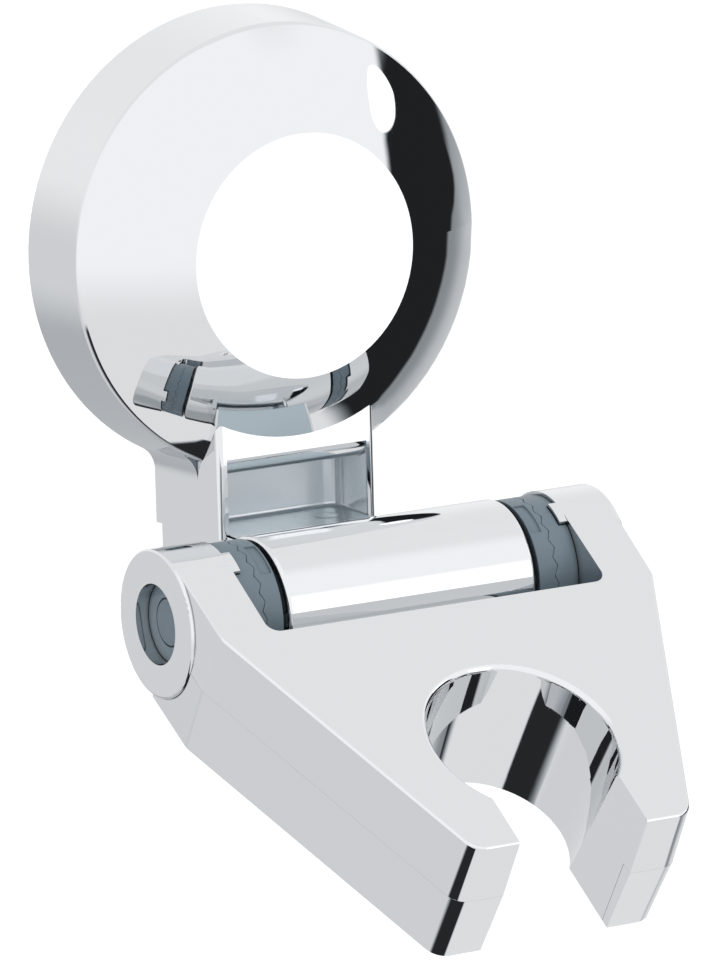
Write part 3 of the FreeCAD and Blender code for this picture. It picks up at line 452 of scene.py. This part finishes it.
def studio_light(tree, direction):
    """Brightness of the tent by direction: across is 0 in front and 90 on the right."""
    x, y, z = add_node(tree, "ShaderNodeSeparateXYZ", {"Vector": direction}).outputs
    front = compute(tree, "MULTIPLY", y, -1.0)
    across = compute(tree, "DEGREES", compute(tree, "ARCTAN2", x, front))
    height = compute(tree, "DEGREES", compute(tree, "ARCSINE", z))

    # Front of the tent, its roof, the table, and the wall behind with its dark low corners
    roof = compute(tree, "MULTIPLY", step_up(tree, height, *ROOF_HEIGHT),
                   step_up(tree, across, *ROOF_ACROSS))
    light = towards(tree, FRONT, ROOF, roof)
    light = towards(tree, light, TABLE, step_up(tree, height, *TABLE_HEIGHT))
    sideways = compute(tree, "ABSOLUTE", across)
    wall = towards(tree, WALL_LOW, WALL_MIDDLE, step_up(tree, height, *WALL_MIDDLE_HEIGHT))
    wall = towards(tree, wall, WALL_HIGH, step_up(tree, height, *WALL_HIGH_HEIGHT))
    corner = compute(tree, "MULTIPLY", step_up(tree, sideways, *CORNER_ACROSS),
                     step_up(tree, height, *CORNER_HEIGHT))
    wall = towards(tree, wall, WALL_CORNER, corner)
    light = towards(tree, light, wall, step_up(tree, sideways, *WALL_ACROSS))

    # Tall soft box in front, a little to the right
    box = compute(tree, "MULTIPLY", band(tree, across, *BOX_ACROSS),
                  band(tree, height, *BOX_HEIGHT))
    light = towards(tree, light, SOFT_BOX, box)

    # Black flag on the right, in front of a grey wall
    slant = compute(tree, "MULTIPLY_ADD", across, FLAG_SLOPE, FLAG_OFFSET)
    under = compute(tree, "SUBTRACT", slant, height)
    top = compute(tree, "MULTIPLY", step_up(tree, under, -FLAG_TOP_SOFT, FLAG_TOP_SOFT),
                  step_up(tree, height, *FLAG_LIMIT))
    edge = towards(tree, FLAG_FAR_HIGH, FLAG_FAR_LOW, step_up(tree, height, *FLAG_FAR_STEP))
    past_edge = compute(tree, "SUBTRACT", across, edge)
    flag = compute(tree, "MULTIPLY", step_up(tree, across, *FLAG_NEAR),
                   step_up(tree, past_edge, FLAG_FAR_SOFT, -FLAG_FAR_SOFT))
    flag = compute(tree, "MULTIPLY", flag, top)
    flag = compute(tree, "MULTIPLY", flag, step_up(tree, height, *FLAG_FOOT))
    grey = compute(tree, "MULTIPLY", band(tree, across, *GREY_ACROSS),
                   band(tree, height, *GREY_HEIGHT))
    light = towards(tree, light, GREY_WALL, grey)
    light = towards(tree, light, BLACK_FLAG, flag)

    # Black gap between the table's front and the wall, placed on the table's plane
    depth = compute(tree, "MAXIMUM", compute(tree, "MULTIPLY", z, -1.0), SHALLOWEST)
    gap = compute(tree, "MULTIPLY",
                  band(tree, compute(tree, "DIVIDE", x, depth), *GAP_ACROSS),
                  band(tree, compute(tree, "DIVIDE", front, depth), *GAP_FRONT))
    gap = compute(tree, "MULTIPLY", gap, step_up(tree, z, *GAP_FALL))
    light = towards(tree, light, BLACK_GAP, gap)

    # Long oval lamp that leans over the flag's upper corner
    aside = compute(tree, "SUBTRACT", across, LAMP_ACROSS)
    above = compute(tree, "SUBTRACT", height, LAMP_HEIGHT)
    lean, drift = LAMP_LEAN
    along = compute(tree, "ADD", compute(tree, "MULTIPLY", aside, lean),
                    compute(tree, "MULTIPLY", above, drift))
    past = compute(tree, "SUBTRACT", compute(tree, "MULTIPLY", above, lean),
                   compute(tree, "MULTIPLY", aside, drift))
    oval = compute(tree, "ADD",
                   compute(tree, "POWER", compute(tree, "DIVIDE", along, LAMP_LENGTH), 2.0),
                   compute(tree, "POWER", compute(tree, "DIVIDE", past, LAMP_BREADTH), 2.0))
    light = towards(tree, light, LAMP, step_up(tree, oval, *LAMP_RIM))
    return compute(tree, "MULTIPLY", light, bpy.context.scene.holder_stage.level)


class HOLDER_OT_camera(bpy.types.Operator):
    """Sets up the camera and how its picture is shown."""

    bl_idname = "holder.camera"
    bl_label = "Camera"

    def execute(self, context):
        scene = context.scene
        setup = scene.holder_camera
        back = Vector((math.sin(setup.azimuth) * math.cos(setup.elevation),
                       -math.cos(setup.azimuth) * math.cos(setup.elevation),
                       math.sin(setup.elevation)))
        right = Vector((math.cos(setup.azimuth), math.sin(setup.azimuth), 0.0))
        turn = Matrix((right, back.cross(right), back)).transposed()
        turn = turn @ Matrix.Rotation(setup.roll, 3, "Z")
        place = Matrix.Translation(Vector(setup.target) + back * setup.distance) @ turn.to_4x4()
        bpy.ops.object.camera_add()
        camera = context.object
        camera.matrix_world = place
        camera.data.lens = setup.lens
        camera.data.clip_start = 0.01
        scene.camera = camera
        scene.view_settings.view_transform = "Standard"
        return {"FINISHED"}


class HOLDER_OT_tent(bpy.types.Operator):
    """Puts the tent round the holder. The camera sees it as plain white."""

    bl_idname = "holder.tent"
    bl_label = "Tent"

    def execute(self, context):
        world = bpy.data.worlds.new("white_tent")
        world.use_nodes = True
        context.scene.world = world
        tree = world.node_tree
        tree.nodes.clear()
        direction = add_node(tree, "ShaderNodeTexCoord").outputs["Generated"]
        seen = add_node(tree, "ShaderNodeLightPath").outputs["Is Camera Ray"]
        light = studio_light(tree, direction)
        cool = add_node(tree, "ShaderNodeMapRange",
                        {"Value": light, "From Min": 0.2, "From Max": 0.9})
        tint = add_node(tree, "ShaderNodeMix",
                        {"Factor": cool.outputs["Result"], "A": COOL, "B": WHITE},
                        data_type="RGBA")
        tent = add_node(tree, "ShaderNodeBackground",
                        {"Color": tint.outputs["Result"], "Strength": light})
        white = add_node(tree, "ShaderNodeBackground", {"Color": WHITE, "Strength": 1.0})
        both = add_node(tree, "ShaderNodeMixShader",
                        {0: seen, 1: tent.outputs[0], 2: white.outputs[0]})
        add_node(tree, "ShaderNodeOutputWorld", {"Surface": both.outputs[0]})
        return {"FINISHED"}


class HOLDER_OT_floor(bpy.types.Operator):
    """Lays the floor."""

    bl_idname = "holder.floor"
    bl_label = "Floor"

    def execute(self, context):
        stage = context.scene.holder_stage
        bpy.ops.mesh.primitive_plane_add(size=stage.floor_side,
                                         location=(0.0, 0.0, -stage.floor_drop))
        floor = context.object
        floor.name = floor.data.name = "studio_floor"
        bpy.ops.object.transform_apply(location=True, rotation=False, scale=False)
        floor.data.materials.append(floor_finish())
        return {"FINISHED"}


# Shaping


def select_where(piece, kind, test):
    """Selects the piece's faces or edges that pass the test, in edit mode."""
    bpy.ops.object.mode_set(mode="EDIT")
    bpy.ops.mesh.select_mode(type="FACE" if kind == "polygons" else "EDGE")
    bpy.ops.mesh.select_all(action="DESELECT")
    bpy.ops.object.mode_set(mode="OBJECT")
    for item in getattr(piece.data, kind):
        item.select = test(item)
    bpy.ops.object.mode_set(mode="EDIT")


def edge_middle(piece, edge):
    """The point half way along an edge."""
    start, end = (piece.data.vertices[index].co for index in edge.vertices)
    return (start + end) / 2


def moulding(node):
    """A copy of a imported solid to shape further, with its facets joined."""
    bpy.ops.object.select_all(action="DESELECT")
    source = frame["nodes"][node]
    source.select_set(True)
    bpy.context.view_layer.objects.active = source
    bpy.ops.object.duplicate()
    piece = bpy.context.object
    piece.name = piece.data.name = node + "_moulding"
    del piece["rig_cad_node"]
    bpy.ops.object.mode_set(mode="EDIT")
    bpy.ops.mesh.customdata_custom_splitnormals_clear()
    bpy.ops.mesh.select_all(action="SELECT")
    bpy.ops.mesh.remove_doubles(threshold=WELD)
    bpy.ops.mesh.dissolve_limited(angle_limit=FLAT)
    bpy.ops.object.mode_set(mode="OBJECT")
    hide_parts(node)
    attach(piece, source["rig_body"])
    return piece


def finish_shape(piece):
    """Smooth across gentle turns, with flat faces kept flat."""
    bpy.ops.object.mode_set(mode="OBJECT")
    bpy.ops.object.shade_smooth_by_angle(angle=bpy.context.scene.holder_edges.sharp)
    weights = piece.modifiers.new("weights", "WEIGHTED_NORMAL")
    weights.keep_sharp = True
    bpy.ops.object.modifier_apply(modifier=weights.name)


class HOLDER_OT_arm_shells(bpy.types.Operator):
    """Breaks the edges of the arm's two shells where they meet, which leaves a fine groove."""

    bl_idname = "holder.arm_shells"
    bl_label = "Arm shells"

    def execute(self, context):
        edges = context.scene.holder_edges
        hinge = Vector(edges.hinge)
        up = Vector((0.0, -math.sin(edges.pitch), math.cos(edges.pitch)))
        for node, seam in (("arm_top_shell", edges.seam),
                           ("arm_bottom_cover", edges.seam - edges.seam_gap)):
            piece = moulding(node)
            corners = piece.data.vertices
            select_where(piece, "edges", lambda edge: all(
                abs((corners[index].co - hinge).dot(up) - seam) < 2 * NEAR
                for index in edge.vertices))
            bpy.ops.mesh.bevel(offset=edges.groove, segments=2, affect="EDGES", clamp_overlap=True)
            finish_shape(piece)
        return {"FINISHED"}


class HOLDER_OT_ratchet_hubs(bpy.types.Operator):
    """Rounds the rings' teeth and rims, so that the line where they mesh shows."""

    bl_idname = "holder.ratchet_hubs"
    bl_label = "Ratchet hubs"

    def execute(self, context):
        edges = context.scene.holder_edges
        for node in HUB_NODES:
            piece = moulding(node)
            rounding = piece.modifiers.new("rounding", "BEVEL")
            rounding.width = edges.hub
            rounding.segments = 3
            rounding.limit_method = "ANGLE"
            rounding.angle_limit = edges.sharp
            rounding.use_clamp_overlap = False
            bpy.ops.object.modifier_apply(modifier=rounding.name)
            finish_shape(piece)
        return {"FINISHED"}


def block(name, low, high):
    """A box between two corners, for cutting."""
    bpy.ops.object.select_all(action="DESELECT")
    middle = [(start + end) / 2 for start, end in zip(low, high)]
    bpy.ops.mesh.primitive_cube_add(size=1.0, location=middle)
    piece = bpy.context.object
    piece.name = piece.data.name = name
    piece.scale = [end - start for start, end in zip(low, high)]
    bpy.ops.object.transform_apply(location=True, rotation=False, scale=True)
    return piece


def cut_away(piece, cutter):
    """Takes the cutter's space out of the piece."""
    bpy.ops.object.mode_set(mode="OBJECT")
    cut = piece.modifiers.new("cut", "BOOLEAN")
    cut.operation = "DIFFERENCE"
    cut.solver = "EXACT"
    cut.object = cutter
    bpy.context.view_layer.objects.active = piece
    bpy.ops.object.modifier_apply(modifier=cut.name)
    bpy.ops.object.select_all(action="DESELECT")
    cutter.select_set(True)
    bpy.ops.object.delete()
    piece.select_set(True)


class HOLDER_OT_bracket(bpy.types.Operator):
    """Sinks the pocket into the bracket's neck, and lowers the neck in front of it."""

    bl_idname = "holder.bracket"
    bl_label = "Bracket"

    def execute(self, context):
        neck = context.scene.holder_neck
        barrel = context.scene.holder_barrel
        piece = moulding("bracket_body")

        # Room for the pocket's lining, and the neck in front of it down to the pocket's floor
        under = -neck.shelf - 2 * neck.sheet
        side = neck.half_width + 2 * neck.sheet
        cut_away(piece, block("pocket", (-side, -neck.front - neck.overrun, under),
                              (side, -neck.back + 2 * neck.sheet, -neck.top)))
        wide = barrel.half_length - barrel.kept
        hinge = Vector(context.scene.holder_edges.hinge)
        cut_away(piece, block("clearance", (-wide, hinge.y, under),
                              (wide, -neck.front, -neck.top)))
        bpy.context.view_layer.objects.active = piece
        finish_shape(piece)
        return {"FINISHED"}


class HOLDER_OT_pocket(bpy.types.Operator):
    """Lines the pocket under the cover's rolled lip, with coves where its walls meet."""

    bl_idname = "holder.pocket"
    bl_label = "Neck pocket"

    def execute(self, context):
        neck = context.scene.holder_neck
        piece = block("neck_pocket", (-neck.half_width, -neck.reach, -neck.shelf),
                      (neck.half_width, -neck.back, -neck.top))
        select_where(piece, "polygons", lambda face: (
            face.normal.y < -FACING or face.normal.z > FACING))
        bpy.ops.mesh.delete(type="FACE")
        select_where(piece, "edges", lambda edge: (
            edge_middle(piece, edge).y > -neck.back - NEAR
            and -neck.shelf + NEAR < edge_middle(piece, edge).z < -neck.top - NEAR))
        bpy.ops.mesh.bevel(offset=neck.corner, segments=20, affect="EDGES")
        select_where(piece, "edges", lambda edge: (
            edge_middle(piece, edge).y > -neck.back - neck.corner
            and edge_middle(piece, edge).z < -neck.shelf + NEAR))
        bpy.ops.mesh.bevel(offset=neck.cove, segments=6, affect="EDGES")

        # Sides end at the front of the cover's stem, the floor runs on to the barrel
        bpy.ops.mesh.select_all(action="SELECT")
        bpy.ops.mesh.bisect(plane_co=(0.0, -neck.front, 0.0), plane_no=(0.0, -1.0, 0.0))
        select_where(piece, "polygons", lambda face: (
            face.center.y < -neck.front and abs(face.normal.x) > FACING))
        bpy.ops.mesh.delete(type="FACE")
        bpy.ops.mesh.select_all(action="SELECT")
        bpy.ops.mesh.flip_normals()
        bpy.ops.object.mode_set(mode="OBJECT")
        wall = piece.modifiers.new("wall", "SOLIDIFY")
        wall.thickness = neck.sheet
        bpy.ops.object.modifier_apply(modifier=wall.name)
        bpy.ops.object.shade_smooth_by_angle(angle=context.scene.holder_edges.sharp)
        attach(piece, "bracket")
        return {"FINISHED"}


class HOLDER_OT_ejector_mark(bpy.types.Operator):
    """Sets the mould's round ejector mark on the pocket's floor."""

    bl_idname = "holder.ejector_mark"
    bl_label = "Ejector mark"

    def execute(self, context):
        neck = context.scene.holder_neck
        bpy.ops.object.select_all(action="DESELECT")
        bpy.ops.mesh.primitive_cylinder_add(
            vertices=64, radius=neck.mark_radius, depth=neck.mark_height,
            location=(neck.mark[0], neck.mark[1], -neck.shelf))
        mark = context.object
        mark.name = mark.data.name = "ejector_mark"
        bpy.ops.object.transform_apply(location=True, rotation=False, scale=False)
        select_where(mark, "polygons", lambda face: face.normal.z > FACING)
        bpy.ops.mesh.inset(thickness=neck.mark_rim, depth=-neck.mark_dish)
        bpy.ops.object.mode_set(mode="OBJECT")
        bpy.ops.object.shade_smooth_by_angle(angle=context.scene.holder_edges.sharp)
        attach(mark, "bracket")
        return {"FINISHED"}


class HOLDER_OT_barrel(bpy.types.Operator):
    """Turns the hinge barrel with its rounded rims and bored ends."""

    bl_idname = "holder.barrel"
    bl_label = "Hinge barrel"

    def execute(self, context):
        barrel = context.scene.holder_barrel
        bpy.ops.object.select_all(action="DESELECT")
        bpy.ops.mesh.primitive_cylinder_add(
            vertices=192, radius=barrel.radius, depth=2 * barrel.half_length,
            location=context.scene.holder_edges.hinge, rotation=(0.0, math.pi / 2, 0.0))
        piece = context.object
        piece.name = piece.data.name = "hinge_barrel"
        bpy.ops.object.transform_apply(location=True, rotation=True, scale=False)
        select_where(piece, "polygons", lambda face: abs(face.normal.x) > FACING)
        bpy.ops.mesh.bevel(offset=barrel.rim, segments=6, affect="EDGES")
        for side in (-1, 1):
            select_where(piece, "polygons", lambda face: (
                face.normal.x * side > SQUARE
                and face.center.x * side > barrel.half_length - NEAR))
            bpy.ops.mesh.inset(thickness=barrel.radius - barrel.rim - barrel.bore, depth=0.0)
            bpy.ops.mesh.extrude_region_move(
                TRANSFORM_OT_translate={"value": (-side * barrel.bore_depth, 0.0, 0.0)})
        finish_shape(piece)
        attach(piece, "bracket")
        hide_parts("bracket_body")
        return {"FINISHED"}


class HOLDER_OT_finishes(bpy.types.Operator):
    """Gives every piece its finish."""

    bl_idname = "holder.finishes"
    bl_label = "Finishes"

    def execute(self, context):
        colours = context.scene.holder_colours
        finishes = (((*CHROME_NODES, "hinge_barrel"),
                     chrome_finish("chrome_plating", colours.chrome)),
                    # The pocket's lining, its floor and the ejector mark take part-metal finishes
                    # in duller colours, which are painted shade
                    (("neck_pocket",),
                     chrome_finish("thin_plating", colours.pocket_shade,
                                   metal=0.6, low=0.16, high=0.22)),
                    (("ejector_mark", "neck_pocket"),
                     chrome_finish("shelf_plating", colours.shelf,
                                   metal=0.6, low=0.2, high=0.26)),
                    (HUB_NODES, slate_finish("slate_plastic", colours.slate)),
                    (AXLE_NODES, slate_finish("axle_plastic", colours.axle)),
                    (STEEL_NODES, steel_finish("bright_steel", colours.steel)))
        for piece in bpy.data.objects:
            if piece.type == "MESH" and piece.name != "studio_floor":
                piece.data.materials.clear()
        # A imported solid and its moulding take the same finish
        for names, material in finishes:
            for name in names:
                for piece in (frame["nodes"].get(name) or bpy.data.objects.get(name),
                              bpy.data.objects.get(name + "_moulding")):
                    if piece is not None:
                        piece.data.materials.append(material)

        # The pocket's floor takes the second of its two finishes, the darker one with painted
        # shade
        pocket = bpy.data.objects["neck_pocket"]
        for face in pocket.data.polygons:
            face.material_index = int(face.normal.z > UPWARD)
        return {"FINISHED"}


class HOLDER_PT_panel(bpy.types.Panel):
    """Lists the steps in order."""

    bl_idname = "HOLDER_PT_panel"
    bl_label = "Shower Holder"
    bl_space_type = "VIEW_3D"
    bl_region_type = "UI"
    bl_category = "Shower Holder"

    def draw(self, context):
        for step in STEPS:
            self.layout.operator(step.bl_idname)


GROUPS = {
    "holder_camera": HolderCamera,
    "holder_stage": HolderStage,
    "holder_neck": HolderNeck,
    "holder_barrel": HolderBarrel,
    "holder_edges": HolderEdges,
    "holder_colours": HolderColours,
}
STEPS = (
    HOLDER_OT_camera,
    HOLDER_OT_tent,
    HOLDER_OT_floor,
    HOLDER_OT_arm_shells,
    HOLDER_OT_ratchet_hubs,
    HOLDER_OT_bracket,
    HOLDER_OT_pocket,
    HOLDER_OT_ejector_mark,
    HOLDER_OT_barrel,
    HOLDER_OT_finishes,
)


def register():
    """Makes the classes and the scene's sizes known to Blender."""
    for item in (*GROUPS.values(), *STEPS, HOLDER_PT_panel):
        bpy.utils.register_class(item)
    for name, group in GROUPS.items():
        setattr(bpy.types.Scene, name, bpy.props.PointerProperty(type=group))


def unregister():
    """Takes the classes and the scene's sizes away again."""
    for name in GROUPS:
        delattr(bpy.types.Scene, name)
    for item in (HOLDER_PT_panel, *reversed(STEPS), *GROUPS.values()):
        bpy.utils.unregister_class(item)


def main():
    """Sets up the scene, shapes the pieces and dresses them."""
    register()
    bpy.ops.holder.camera()
    bpy.ops.holder.tent()
    bpy.ops.holder.floor()
    bpy.ops.holder.arm_shells()
    bpy.ops.holder.ratchet_hubs()
    bpy.ops.holder.bracket()
    bpy.ops.holder.pocket()
    bpy.ops.holder.ejector_mark()
    bpy.ops.holder.barrel()
    bpy.ops.holder.finishes()


if __name__ == "__main__":
    main()
